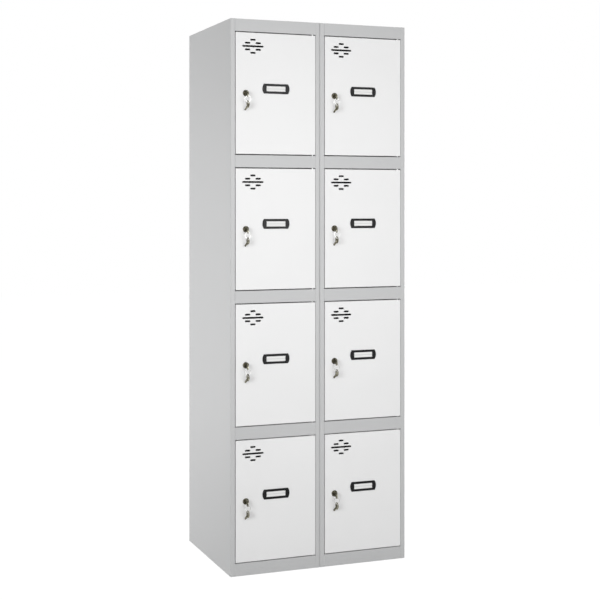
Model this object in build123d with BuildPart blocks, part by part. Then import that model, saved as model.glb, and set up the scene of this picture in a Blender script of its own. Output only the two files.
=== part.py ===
from build123d import *
import math
import os

# A free-standing steel locker: two columns bolted side by side, with four
# compartments in each, every one with its own door, lock and pair of keys.
# Millimetres. X runs to the right, Y to the rear and Z up. The origin is on the
# floor, midway between the two columns and midway from front to rear.
# A depth is measured to the rear from the front faces of the doors and stiles.
# Small round holes, the locks and the bolts have few flats, so that the facets stay few.

# Column
column_width = 300.0
column_depth = 460.0
tiers = 4
sheet = 0.8
weld_gap = 0.1
bend_radius = 2.5
stile_width = 15.0
stile_depth = 21.5
stop_lip = 6.0
rear_flange = 15.0
rail_height = 39.0
rail_return = 20.0

# Doors
door_height = 380.0
door_depth = 18.0
door_sheet = 0.8
door_edge = 0.8
door_lip = 10.0
side_gap = 2.0
end_gap = 3.0

# Hinge pins
pivot_inset = 8.0
pivot_depth = 4.5
pin_radius = 2.4
pin_clearance = 0.1
pin_hole_sides = 8
pin_engagement = 6.0

# Vent: slots one, two or four units long, in five rows that make a diamond
vent_unit = 17.0
vent_pitch = 10.3
vent_slot = 4.0
vent_corner = 1.2
vent_from_side = 57.6
vent_from_top = 41.0

# Rubber buffers on the stop lip beside the lock
buffer_width = 5.0
buffer_height = 14.0
buffer_spacing = 250.0
buffer_gap = 0.3

# Lock
lock_inset = 33.0
bezel_radius = 10.0
bezel_sides = 20
bezel_height = 3.0
bezel_chamfer = 0.8
barrel_height = 16.0
barrel_flats = 14.0
barrel_corner = 4.0
barrel_length = 21.0
barrel_clearance = 0.2
clip_width = 26.0
clip_height = 24.0
clip_thickness = 1.0
clip_groove = 0.7
plug_radius = 5.5
plug_sides = 12
plug_clearance = 0.08
plug_recess = 0.4
cam_depth = 22.0
cam_reach = 38.0
cam_width = 14.0
cam_thickness = 2.0
cam_corner = 3.0
drive_square = 6.5
drive_clearance = 0.1
cam_screw_size = 8.0
cam_screw_head = 2.5

# Keys: distances along a key are measured from the middle of its ring slot, and
# distances across it from the middle of its blade
key_thickness = 2.0
bow_front = 5.0
bow_rear = 10.5
bow_high = 6.5
bow_low = 13.4
ring_slot_end = 11.5
ring_slot_length = 8.0
ring_slot_width = 4.4
shank_width = 8.0
blade_width = 6.5
blade_length = 11.0
blade_point = 2.0
keyway_clearance = 0.2
shoulder_gap = 0.3

# Split ring, and how far in front of the door it hangs
ring_standoff = 19.0
ring_radius = 9.0
ring_band = 1.6
ring_width = 1.8
ring_sides = 16
rest_gap = 0.3
spare_key_lean = math.radians(50)

# Label holder
holder_length = 90.0
holder_height = 31.0
holder_bulge = 5.0
holder_end_drop = 1.25
holder_thickness = 3.0
holder_above_centre = 16.0
window_length = 64.0
window_height = 16.4
card_margin = 3.0
card_pocket = 1.0
card_thickness = 0.4
card_gap = 0.2

# Bolts that join the columns
bolt_radius = 3.0
bolt_sides = 12
bolt_size = 10.0
bolt_head = 4.0
nut_height = 5.0
bolt_hole_clearance = 0.3
nut_clearance = 0.1
bolt_end = 1.5
bolt_depth = 10.75
bolt_access_radius = 6.5

# Sizes that follow
front = -column_depth / 2
rear = column_depth / 2
pitch = rail_height + door_height + 2 * end_gap
total_height = tiers * pitch + rail_height
column_left = {"left": -column_width, "right": 0.0}
door_width = column_width - 2 * (stile_width + side_gap)
plug_face = plug_recess - bezel_height
blade_start = ring_standoff + plug_face - shoulder_gap
blade_end = blade_start + blade_length
wire_reach = math.hypot(ring_band, ring_width) / 2 + rest_gap
wire_along = wire_reach - ring_slot_width / 2
wire_across = ring_slot_end - wire_reach


def face_at(depth):
    """The upright plane at this depth: X to the right, Z up, facing out of the locker."""
    return Plane.XZ.offset(-(front + depth))


def rail_bottom(level):
    """Height of the underside of a rail, counted up from the base rail."""
    return level * pitch


def door_centre(column, tier):
    """X and Z of a door's middle. Tiers are counted down from the top."""
    x = column_left[column] + column_width / 2
    return x, rail_bottom(tiers - tier) + rail_height + end_gap + door_height / 2


def lock_axis(column, tier):
    """X and Z of a lock's axis."""
    x, z = door_centre(column, tier)
    return x - door_width / 2 + lock_inset, z


def side_wall(column, side):
    """A side wall folded from one sheet: rear flange, side, stile, its return and its stop lip."""
    inward = 1 if side == "left" else -1
    outer = column_left[column] + (0 if side == "left" else column_width)
    skin = outer + inward * sheet / 2
    returned = outer + inward * (stile_width - sheet / 2)
    lip_y = front + stile_depth - sheet / 2
    with BuildPart() as wall:
        with BuildSketch() as section:
            with BuildLine():
                FilletPolyline(
                    (outer + inward * (stile_width + stop_lip), lip_y),
                    (returned, lip_y),
                    (returned, front + sheet / 2),
                    (skin, front + sheet / 2),
                    (skin, rear - sheet / 2),
                    (outer + inward * rear_flange, rear - sheet / 2),
                    radius=[0, 0, bend_radius - sheet / 2, 0],
                )
            trace(line_width=sheet)
        extrude(amount=total_height - sheet)
        if outer == 0:
            with BuildSketch(Plane.YZ):
                with Locations(*bolt_places()):
                    RegularPolygon(bolt_radius + bolt_hole_clearance, bolt_sides, major_radius=False)
            extrude(amount=inward * sheet, mode=Mode.SUBTRACT)
            with BuildSketch(Plane.YZ.offset(inward * stile_width)):
                with Locations(*bolt_places()):
                    RegularPolygon(bolt_access_radius, bolt_sides)
            extrude(amount=-inward * sheet, mode=Mode.SUBTRACT)
    return wall.part


def bolt_places():
    """Y and Z of the bolts between the columns, inside the hollow stiles beside each lock."""
    return [(front + bolt_depth, door_centre("left", tier)[1]) for tier in range(1, tiers + 1)]


def rail_section(plane, bottom, top):
    """The channel that shows between two doors, drawn on an upright plane across the locker."""
    with BuildSketch(plane) as section:
        with BuildLine():
            Polyline(
                (front + rail_return, bottom + sheet / 2),
                (front + sheet / 2, bottom + sheet / 2),
                (front + sheet / 2, top - sheet / 2),
                (front + rail_return, top - sheet / 2),
            )
        trace(line_width=sheet)
    return section.sketch


def shelf(column, level):
    """A shelf or base: a rail between the stiles, and a plate notched round their stop lips."""
    left = column_left[column]
    middle = left + column_width / 2
    bottom = rail_bottom(level)
    top = bottom + rail_height
    rail_width = column_width - 2 * (stile_width + weld_gap)
    neck_width = rail_width - 2 * stop_lip
    plate_width = column_width - 2 * (sheet + weld_gap)
    plate_front = front + stile_depth + weld_gap
    plate_rear = rear - 2 * sheet - weld_gap
    with BuildPart() as shelf:
        extrude(rail_section(Plane.YZ.offset(middle), bottom, top), amount=rail_width / 2, both=True)
        with BuildSketch(Plane.XY.offset(top - sheet)):
            with Locations((middle, front + rail_return)):
                Rectangle(neck_width, plate_front - front - rail_return, align=(Align.CENTER, Align.MIN))
            with Locations((middle, plate_front)):
                Rectangle(plate_width, plate_rear - plate_front, align=(Align.CENTER, Align.MIN))
        extrude(amount=sheet)
    return shelf.part


def roof(column):
    """The top of a column: a plate over both walls and a rail between the stiles."""
    middle = column_left[column] + column_width / 2
    rail_width = column_width - 2 * (stile_width + weld_gap)
    with BuildPart() as roof:
        with BuildSketch(Plane.XY.offset(total_height - sheet)) as plate:
            with Locations((middle, 0)):
                Rectangle(column_width, column_depth)
            fillet(plate.vertices().group_by(Axis.Y)[0], bend_radius)
        extrude(amount=sheet)
        rail = rail_section(Plane.YZ.offset(middle), total_height - rail_height, total_height)
        extrude(rail, amount=rail_width / 2, both=True)
    return roof.part


def back_panels():
    """The flat rear panel of each column, inside the walls' rear flanges."""
    with BuildPart() as panels:
        with BuildSketch(Plane.XZ.offset(-(rear - sheet))):
            for left in column_left.values():
                with Locations((left + column_width / 2, 0)):
                    Rectangle(
                        column_width - 2 * (sheet + weld_gap),
                        total_height - sheet - weld_gap,
                        align=(Align.CENTER, Align.MIN),
                    )
        extrude(amount=sheet)
    return panels.part


def hinge_pins():
    """Two pins for each door, one up from the rail below it and one down from the rail above."""
    length = end_gap + pin_engagement
    with BuildPart() as pins:
        for left in column_left.values():
            x = left + column_width - stile_width - side_gap - pivot_inset
            for level in range(tiers):
                lower_rail_top = rail_bottom(level) + rail_height
                upper_rail_bottom = rail_bottom(level + 1)
                for z in (lower_rail_top, upper_rail_bottom - length):
                    with BuildSketch(Plane.XY.offset(z)):
                        with Locations((x, front + pivot_depth)):
                            Circle(pin_radius)
                    extrude(amount=length)
    return pins.part


def door_buffers():
    """Small rubber pads on the stop lip beside each lock, which the closed door meets."""
    lip_face = stile_depth - sheet
    thickness = lip_face - door_depth - buffer_gap
    with BuildPart() as buffers:
        with BuildSketch(face_at(lip_face)):
            for column, left in column_left.items():
                for tier in range(1, tiers + 1):
                    z = door_centre(column, tier)[1]
                    with Locations((left + stile_width + stop_lip / 2, z)):
                        with GridLocations(0, buffer_spacing, 1, 2):
                            Rectangle(buffer_width, buffer_height)
        extrude(amount=thickness)
    return buffers.part


def column_bolts():
    """Hexagon bolts through the two walls that touch, reached through holes in the returns."""
    shank = 2 * sheet + nut_height + bolt_end
    with BuildPart() as bolts:
        with BuildSketch(Plane.YZ.offset(-sheet)):
            with Locations(*bolt_places()):
                RegularPolygon(bolt_size / 2, 6, major_radius=False)
        extrude(amount=-bolt_head)
        with BuildSketch(Plane.YZ.offset(-sheet)):
            with Locations(*bolt_places()):
                RegularPolygon(bolt_radius, bolt_sides)
        extrude(amount=shank)
    return bolts.part


def column_nuts():
    """Hexagon nuts on the bolts."""
    with BuildPart() as nuts:
        with BuildSketch(Plane.YZ.offset(sheet)):
            with Locations(*bolt_places()):
                RegularPolygon(bolt_size / 2, 6, major_radius=False)
                RegularPolygon(
                    bolt_radius + nut_clearance, bolt_sides, major_radius=False, mode=Mode.SUBTRACT
                )
        extrude(amount=nut_height)
    return nuts.part


def vent_slots(x, z):
    """The diamond of slots, with clipped corners, centred on this point of the open sketch."""
    rows = [(0, 0, 4)]
    for side in (-1, 1):
        rows += [(-1, side, 1), (1, side, 1), (0, 2 * side, 1)]
    with BuildSketch(face_at(0)) as slots:
        for across, row, units in rows:
            with Locations((x + across * vent_unit, z + row * vent_pitch)):
                Rectangle(units * vent_unit, vent_slot)
        chamfer(slots.vertices(), vent_corner)
    return slots.sketch


def barrel_section(plane, grow=0.0):
    """The barrel's outline: flats on all sides and clipped corners, grown for its hole."""
    with BuildSketch(plane) as section:
        Rectangle(barrel_flats + 2 * grow, barrel_height + 2 * grow)
        chamfer(section.vertices(), barrel_corner)
    return section.sketch


def door_panel(column, tier):
    """A door pressed from one sheet: face, four flanges and the lips on their rear edges."""
    x, z = door_centre(column, tier)
    with BuildPart() as panel:
        with BuildSketch(face_at(0)):
            with Locations((x, z)):
                Rectangle(door_width, door_height)
        extrude(amount=-door_depth)
        chamfer(panel.faces().sort_by(Axis.Y)[0].edges(), door_edge)
        offset(amount=-door_sheet, openings=panel.faces().sort_by(Axis.Y)[-1])
        with BuildSketch(face_at(door_depth)):
            with Locations((x, z)):
                Rectangle(door_width, door_height)
                Rectangle(door_width - 2 * door_lip, door_height - 2 * door_lip, mode=Mode.SUBTRACT)
        extrude(amount=door_sheet)
        vent = vent_slots(x - door_width / 2 + vent_from_side, z + door_height / 2 - vent_from_top)
        extrude(vent, amount=-door_sheet, mode=Mode.SUBTRACT)
        hole = barrel_section(lock_plane(column, tier, 0), barrel_clearance)
        extrude(hole, amount=-door_sheet, mode=Mode.SUBTRACT)
        with BuildSketch(Plane.XY.offset(z - door_height / 2)):
            with Locations((x + door_width / 2 - pivot_inset, front + pivot_depth)):
                RegularPolygon(pin_radius + pin_clearance, pin_hole_sides, major_radius=False)
        extrude(amount=door_height, mode=Mode.SUBTRACT)
    return panel.part


def lock_plane(column, tier, depth):
    """An upright plane at this depth with its origin on the lock's axis."""
    x, z = lock_axis(column, tier)
    return Plane(origin=(x, front + depth, z), x_dir=(1, 0, 0), z_dir=(0, -1, 0))


def lock_housing(column, tier):
    """The fixed part of the lock: bezel on the door's face and flatted barrel behind it."""
    with BuildPart() as housing:
        with BuildSketch(lock_plane(column, tier, 0)):
            RegularPolygon(bezel_radius, bezel_sides)
        extrude(amount=bezel_height)
        chamfer(housing.faces().sort_by(Axis.Y)[0].edges(), bezel_chamfer)
        extrude(barrel_section(lock_plane(column, tier, 0)), amount=-barrel_length)
        with BuildSketch(lock_plane(column, tier, door_sheet)):
            Rectangle(barrel_flats, barrel_height)
            Rectangle(barrel_flats - 2 * clip_groove, barrel_height, mode=Mode.SUBTRACT)
        extrude(amount=-clip_thickness - clip_groove / 2, mode=Mode.SUBTRACT)
        with BuildSketch(lock_plane(column, tier, -bezel_height)):
            RegularPolygon(plug_radius + plug_clearance, plug_sides, major_radius=False)
        extrude(amount=-(bezel_height + barrel_length), mode=Mode.SUBTRACT)
    return housing.part


def lock_clip(column, tier):
    """The steel clip that slides up into the barrel's grooves behind the door's sheet."""
    with BuildPart() as clip:
        with BuildSketch(lock_plane(column, tier, door_sheet)):
            Rectangle(clip_width, clip_height)
            with Locations((0, barrel_height / 2 + weld_gap)):
                Rectangle(
                    barrel_flats - 2 * clip_groove + 2 * weld_gap,
                    clip_height,
                    align=(Align.CENTER, Align.MAX),
                    mode=Mode.SUBTRACT,
                )
        extrude(amount=-clip_thickness)
    return clip.part


def lock_plug(column, tier):
    """The turning plug, with its keyway in front and the square for the cam at the rear."""
    keyway_depth = shoulder_gap + keyway_clearance - blade_length
    with BuildPart() as plug:
        with BuildSketch(lock_plane(column, tier, plug_face)):
            RegularPolygon(plug_radius, plug_sides)
        extrude(amount=-(cam_depth - plug_face))
        with BuildSketch(lock_plane(column, tier, cam_depth)):
            Rectangle(drive_square, drive_square)
        extrude(amount=-cam_thickness)
        with BuildSketch(lock_plane(column, tier, plug_face)):
            Rectangle(key_thickness + 2 * keyway_clearance, blade_width + 2 * keyway_clearance)
        extrude(amount=keyway_depth - 2 * keyway_clearance, mode=Mode.SUBTRACT)
    return plug.part


def lock_cam(column, tier):
    """The cam: it hangs down when the lock is open and turns behind the stop lip to lock."""
    with BuildPart() as cam:
        with BuildSketch(lock_plane(column, tier, cam_depth)) as outline:
            with Locations((0, cam_width / 2)):
                Rectangle(cam_width, cam_reach + cam_width / 2, align=(Align.CENTER, Align.MAX))
            chamfer(outline.vertices(), cam_corner)
            hole = drive_square + 2 * drive_clearance
            Rectangle(hole, hole, mode=Mode.SUBTRACT)
        extrude(amount=-cam_thickness)
    return cam.part


def cam_screw(column, tier):
    """The head of the screw that holds the cam on its square."""
    with BuildPart() as screw:
        with BuildSketch(lock_plane(column, tier, cam_depth + cam_thickness)):
            RegularPolygon(cam_screw_size / 2, 6, major_radius=False)
        extrude(amount=-cam_screw_head)
    return screw.part


def key(plane):
    """A flat key, its bow cut away at the top outer corner and dropped round the ring slot.

    The plane's X runs from bow to blade, from the middle of the slot's width, and its Y
    points away from the slot's end that holds the ring.
    """
    with BuildPart() as key:
        with BuildSketch(plane):
            with BuildLine():
                Polyline(
                    (bow_rear, bow_high),
                    (4.0, bow_high),
                    (-2.0, 3.0),
                    (-bow_front, -4.0),
                    (-bow_front, -10.5),
                    (-2.5, -bow_low),
                    (4.0, -bow_low),
                    (bow_rear, -bow_high),
                    close=True,
                )
            make_face()
            with Locations((bow_rear, 0)):
                Rectangle(blade_start - bow_rear, shank_width, align=(Align.MIN, Align.CENTER))
            with Locations((0, -ring_slot_end)):
                Rectangle(
                    ring_slot_width,
                    ring_slot_length,
                    align=(Align.CENTER, Align.MIN),
                    mode=Mode.SUBTRACT,
                )
        extrude(amount=key_thickness / 2, both=True)
        with BuildSketch(plane) as blade:
            with Locations((blade_start, 0)):
                Rectangle(blade_length, blade_width, align=(Align.MIN, Align.CENTER))
            tip = blade.vertices().group_by(Axis(plane.origin, plane.x_dir))[-1]
            chamfer(tip, blade_point)
        extrude(amount=key_thickness / 2, both=True)
    return key.part


def lock_key(column, tier):
    """The key in the lock, its bow upright and its slot below and as far out as the ring hangs."""
    x, z = lock_axis(column, tier)
    return key(Plane(origin=(x, front - ring_standoff, z), x_dir=(0, 1, 0), z_dir=(1, 0, 0)))


def ring_centre(column, tier):
    """X and Z of the split ring's centre, as it hangs from the lower end of the key's slot."""
    x, z = lock_axis(column, tier)
    return x, z - wire_across - ring_radius


def key_ring(column, tier):
    """The split ring, as a band with flats where it passes through the keys."""
    flats_up = 180 / ring_sides
    with BuildPart() as ring:
        with BuildSketch(face_at(-ring_standoff)):
            with Locations(ring_centre(column, tier)):
                RegularPolygon(
                    ring_radius + ring_band / 2, ring_sides, major_radius=False, rotation=flats_up
                )
                RegularPolygon(
                    ring_radius - ring_band / 2,
                    ring_sides,
                    major_radius=False,
                    rotation=flats_up,
                    mode=Mode.SUBTRACT,
                )
        extrude(amount=ring_width / 2, both=True)
    return ring.part


def spare_key(column, tier):
    """The second key, which hangs from the foot of the ring with its blade towards the door."""
    x, z = ring_centre(column, tier)
    along = Vector(0, math.sin(spare_key_lean), -math.cos(spare_key_lean))
    away = Vector(0, -math.cos(spare_key_lean), -math.sin(spare_key_lean))
    wire = Vector(x, front - ring_standoff, z - ring_radius)
    middle = wire - along * wire_along + away * wire_across
    return key(Plane(origin=middle, x_dir=along, z_dir=(-1, 0, 0)))


def label_holder(column, tier):
    """The plastic frame on the door's face: bowed ends, a window and a pocket for the card."""
    x, z = door_centre(column, tier)
    straight = holder_length / 2 - holder_bulge
    half = holder_height / 2
    shoulder = (holder_length / 2 - holder_end_drop, half / 2)
    end = [shoulder, (holder_length / 2, 0), (shoulder[0], -half / 2)]
    at = Plane(origin=(x, front, z + holder_above_centre), x_dir=(1, 0, 0), z_dir=(0, -1, 0))
    with BuildPart() as holder:
        with BuildSketch(at):
            with BuildLine():
                Polyline((-straight, half), (straight, half), *end, (straight, -half), (-straight, -half))
                Polyline((-straight, -half), *[(-x, z) for x, z in reversed(end)], (-straight, half))
            make_face()
            Rectangle(window_length, window_height, mode=Mode.SUBTRACT)
        extrude(amount=holder_thickness)
        with BuildSketch(at):
            Rectangle(window_length + 2 * card_margin, window_height + 2 * card_margin)
        extrude(amount=card_pocket, mode=Mode.SUBTRACT)
    return holder.part


def label_card(column, tier):
    """The blank card in the holder's pocket."""
    x, z = door_centre(column, tier)
    at = Plane(
        origin=(x, front - card_gap, z + holder_above_centre), x_dir=(1, 0, 0), z_dir=(0, -1, 0)
    )
    length = window_length + 2 * (card_margin - card_gap)
    height = window_height + 2 * (card_margin - card_gap)
    with BuildPart() as card:
        with BuildSketch(at):
            Rectangle(length, height)
        extrude(amount=card_thickness)
    return card.part


def write(name, *solids):
    """Label a piece, or a group of pieces that one node holds, and write it."""
    piece = solids[0] if len(solids) == 1 else Compound(children=list(solids))
    piece.label = name
    export_step(piece, f"parts/{name}.step")


os.makedirs("parts", exist_ok=True)

for column in column_left:
    write(f"{column}_column_left_wall", side_wall(column, "left"))
    write(f"{column}_column_right_wall", side_wall(column, "right"))
write("roof_panels", *[roof(column) for column in column_left])
write("shelves", *[shelf(column, level) for column in column_left for level in range(1, tiers)])
write("base_panels", *[shelf(column, 0) for column in column_left])
write("back_panels", back_panels())
write("hinge_pins", hinge_pins())
write("door_buffers", door_buffers())
write("column_bolts", column_bolts())
write("column_nuts", column_nuts())

for column in column_left:
    for tier in range(1, tiers + 1):
        place = column, tier
        write(f"{column}_door_{tier}", door_panel(*place), lock_housing(*place), lock_clip(*place))
        write(f"{column}_label_holder_{tier}", label_holder(*place), label_card(*place))
        write(f"{column}_lock_core_{tier}", lock_plug(*place), lock_cam(*place), cam_screw(*place))
        write(f"{column}_key_{tier}", lock_key(*place))
        write(f"{column}_key_ring_{tier}", key_ring(*place))
        write(f"{column}_spare_key_{tier}", spare_key(*place))
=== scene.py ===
import math

import bmesh
import bpy
from bpy.props import FloatProperty, FloatVectorProperty, PointerProperty
from mathutils import Matrix, Vector


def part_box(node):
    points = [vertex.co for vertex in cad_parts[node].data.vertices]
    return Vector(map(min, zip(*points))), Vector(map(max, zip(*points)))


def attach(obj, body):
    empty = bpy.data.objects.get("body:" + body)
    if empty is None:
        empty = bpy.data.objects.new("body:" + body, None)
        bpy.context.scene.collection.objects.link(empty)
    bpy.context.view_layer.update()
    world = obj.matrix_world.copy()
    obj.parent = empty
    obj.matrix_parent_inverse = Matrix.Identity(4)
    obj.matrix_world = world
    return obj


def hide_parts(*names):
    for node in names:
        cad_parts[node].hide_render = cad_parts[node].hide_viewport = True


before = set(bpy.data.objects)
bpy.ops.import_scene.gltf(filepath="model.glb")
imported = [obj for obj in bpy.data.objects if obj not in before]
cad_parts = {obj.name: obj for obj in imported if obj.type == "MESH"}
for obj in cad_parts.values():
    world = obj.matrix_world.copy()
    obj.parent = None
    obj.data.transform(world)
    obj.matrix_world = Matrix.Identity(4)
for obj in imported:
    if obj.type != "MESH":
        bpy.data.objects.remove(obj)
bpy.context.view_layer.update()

bl_info = {
    "name": "Steel Locker",
    "version": (1, 0, 0),
    "blender": (4, 5, 0),
    "location": "View3D > Sidebar > Locker",
    "description": "Folded body, pressed doors, locks, keys and label holders of a steel locker",
    "category": "Object",
}

# Places read from the frame: metres, X to the right, Y to the rear, Z up
COLUMNS = ("left", "right")
TIERS = (1, 2, 3, 4)
ROOF_LOW, ROOF_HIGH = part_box("roof_panels")
FRONT, REAR = ROOF_LOW.y, ROOF_HIGH.y
TOP = ROOF_HIGH.z
RAIL_HEIGHT = TOP - ROOF_LOW.z
COLUMN_WIDTH = (ROOF_HIGH.x - ROOF_LOW.x) / 2
COLUMN_LEFT = {"left": -COLUMN_WIDTH, "right": 0.0}
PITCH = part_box("left_door_1")[0].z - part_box("left_door_2")[0].z

# Spot welds in an outer side: how far behind the middle, and their height
WELDS = (
    (-0.203, TOP - 0.098), (0.202, TOP - 0.098), (0.057, TOP - 0.049), (0.057, 0.062), (-0.12, 0.062),
)
# Slots of a vent: short slots across and rows up from its middle, then its length in short slots
VENT_SLOTS = ((0, 0, 4), (0, 2, 1), (0, -2, 1), (-1, 1, 1), (1, 1, 1), (-1, -1, 1), (1, -1, 1))
# Depths of the cuts in a key's blade, from the tip back
KEY_CUTS = (0.0009, 0.0016, 0.0007, 0.0013, 0.001)

# Lamps: place, target and size
DOORS_MIDDLE = (0, FRONT, TOP * 0.6)
LAMPS = {
    "corner": ((-3.6, -3.5, 1.6), DOORS_MIDDLE, 1.5),
    "front": ((0.26, -2.48, 1.27), DOORS_MIDDLE, 1.5),
    "left": ((-1.8, 1.2, 0.74), DOORS_MIDDLE, 1.7),
    "right": ((2.2, 1.8, 1.0), DOORS_MIDDLE, 1.7),
    "rear": ((0.4, 3.4, 1.3), DOORS_MIDDLE, 1.8),
    "top": ((0, 0, 2 * TOP), (0, 0, TOP), 0.4),
}

# Divisions of a round form and of a fold, the least angle of a sharp edge, and a length that
# counts as none
ROUND = 48
FOLD_STEPS = 4
SHARP = math.radians(35)
TINY = 1e-6

WHITE = (1, 1, 1, 1)


def length(name, description, millimetres):
    """A size that a user can change, given in millimetres and kept in metres."""
    return FloatProperty(
        name=name, description=description, default=millimetres / 1000, unit="LENGTH", precision=5
    )


def degrees(name, description, value):
    """An angle that a user can change, given in degrees."""
    return FloatProperty(name=name, description=description, default=math.radians(value), subtype="ANGLE")


def share(name, description, value):
    """A share between none and all."""
    return FloatProperty(
        name=name, description=description, default=value, subtype="FACTOR", min=0, max=1
    )


def watts(lamp, place, value):
    """A lamp's power."""
    text = f"Power of the lamp {place}, in watts"
    return FloatProperty(name=f"{lamp} lamp", description=text, default=value)


def colour(name, description, value):
    """A paint or metal colour, as scene-linear red, green and blue."""
    return FloatVectorProperty(
        name=name, description=description, default=value, subtype="COLOR", min=0, max=1
    )


class LockerBodySizes(bpy.types.PropertyGroup):
    """Sizes of the folded sheets of the two columns."""

    sheet: length("Sheet", "Thickness of the sheet steel", 0.8)
    fold: length("Fold", "Outside radius of a plain fold", 1.1)
    corner: length("Front corner", "Outside radius of the columns' front corners", 3.4)
    edge: length("Cut edge", "Rounding of a sheet's cut edge under the paint", 0.15)
    gap: length("Seam gap", "Gap between sheets that are welded together", 0.1)
    stile_width: length("Stile width", "Width of the upright strip beside a door", 15.0)
    stile_depth: length("Stile depth", "Depth from the front to the back of the stop lip", 21.5)
    stop_lip: length("Stop lip", "How far the stop lip reaches in behind the door", 6.0)
    flange: length("Rear flange", "Width of the flange round the back panel", 15.0)
    rail_return: length("Rail return", "Depth of the rail from its face to its rear edges", 20.0)
    shelf_rear: length("Shelf rear", "Distance from the locker's rear to a shelf's rear edge", 1.7)
    bolt_depth: length("Bolt depth", "Depth of the joining bolts behind the front", 10.75)
    bolt_hole: length("Bolt hole", "Radius of a joining bolt's hole", 3.3)
    access_hole: length("Access hole", "Radius of the holes that the bolts are reached through", 6.4)
    weld_radius: length("Weld radius", "Radius of a spot weld's mark in an outer side", 4.0)
    weld_depth: length("Weld depth", "Depth of those marks", 0.25)


class LockerHardwareSizes(bpy.types.PropertyGroup):
    """Sizes of the pins, pads, bolts and nuts."""

    pin_radius: length("Pin radius", "Radius of a hinge pin", 2.4)
    pin_length: length("Pin length", "Length of a hinge pin from its rail", 9.0)
    pin_inset: length("Pin inset", "Distance from a door's edge to its pins", 9.0)
    pin_depth: length("Pin depth", "Depth of the pins behind the front", 4.5)
    pad_width: length("Pad width", "Width of a rubber pad", 5.0)
    pad_height: length("Pad height", "Height of a rubber pad", 14.0)
    pad_spacing: length("Pad spacing", "Distance between a door's two pads", 250.0)
    pad_crown: length("Pad rounding", "Rounding of a pad's face", 0.9)
    bolt_size: length("Bolt size", "Width across the flats of a bolt or nut", 10.0)
    bolt_radius: length("Bolt radius", "Radius of a bolt's shank", 2.9)
    bolt_head: length("Bolt head", "Height of a bolt's head", 4.0)
    nut_height: length("Nut height", "Height of a nut", 5.0)
    bolt_end: length("Bolt end", "How far a bolt shows past its nut", 1.5)
    chamfer: length("Chamfer", "Chamfer of the heads and the nuts", 0.6)


class LockerDoorSizes(bpy.types.PropertyGroup):
    """Sizes of a pressed door and its vent."""

    width: length("Width", "Width of a door", 267.0)
    hinge_shift: length("Hinge shift", "How far the door's middle lies nearer its hinges", 0.5)
    height: length("Height", "Height of a door", 380.0)
    depth: length("Depth", "Depth from the face to the back of the lips", 18.0)
    sheet: length("Sheet", "Thickness of the door's sheet", 0.8)
    fold: length("Fold", "Outside radius of the door's folds", 1.0)
    lip: length("Lip", "Width of the lips on the flanges' rear edges", 10.0)
    edge: length("Cut edge", "Rounding of the holes' edges under the paint", 0.18)
    hole_clearance: length("Hole clearance", "Clearance of the pin and lock holes", 0.2)
    vent_unit: length("Vent unit", "Length of a short slot", 17.6)
    vent_pitch: length("Vent pitch", "Distance between two rows of slots", 10.3)
    vent_slot: length("Slot height", "Height of a slot", 5.8)
    vent_across: length("Vent across", "Distance from the door's left edge to the vent", 56.6)
    vent_down: length("Vent down", "Distance from the door's top edge to the vent", 42.6)


class LockerLockSizes(bpy.types.PropertyGroup):
    """Sizes of a cam lock."""

    bezel_radius: length("Bezel radius", "Radius of the bezel on the door's face", 10.0)
    bezel_height: length("Bezel height", "How far the bezel stands proud", 3.0)
    barrel_height: length("Barrel height", "Diameter of the threaded barrel", 16.0)
    barrel_flats: length("Barrel flats", "Width across the barrel's flats", 14.0)
    barrel_length: length("Barrel length", "Length of the barrel behind the face", 21.0)
    clip_width: length("Clip width", "Width of the clip", 26.0)
    clip_height: length("Clip height", "Height of the clip", 24.0)
    clip_thickness: length("Clip thickness", "Thickness of the clip's steel", 1.0)
    clip_groove: length("Clip groove", "Depth of the grooves that the clip slides in", 0.7)
    plug_radius: length("Plug radius", "Radius of the turning plug", 5.5)
    plug_recess: length("Plug recess", "How far the plug sits back in the bezel", 0.4)
    plug_gap: length("Plug gap", "Clearance round the plug", 0.08)
    keyway_width: length("Keyway width", "Width of the keyway", 2.4)
    keyway_height: length("Keyway height", "Height of the keyway", 6.9)
    keyway_depth: length("Keyway depth", "Depth of the keyway", 11.0)
    cam_depth: length("Cam depth", "Depth of the cam behind the face", 22.0)
    cam_reach: length("Cam reach", "Distance from the axis to the cam's tip", 38.0)
    cam_width: length("Cam width", "Width of the cam", 14.0)
    cam_thickness: length("Cam thickness", "Thickness of the cam", 2.0)
    drive: length("Drive square", "Width of the square that carries the cam", 6.5)
    screw_size: length("Screw size", "Width across the flats of the cam's screw", 8.0)
    screw_head: length("Screw head", "Height of the screw's head", 2.5)


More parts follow.
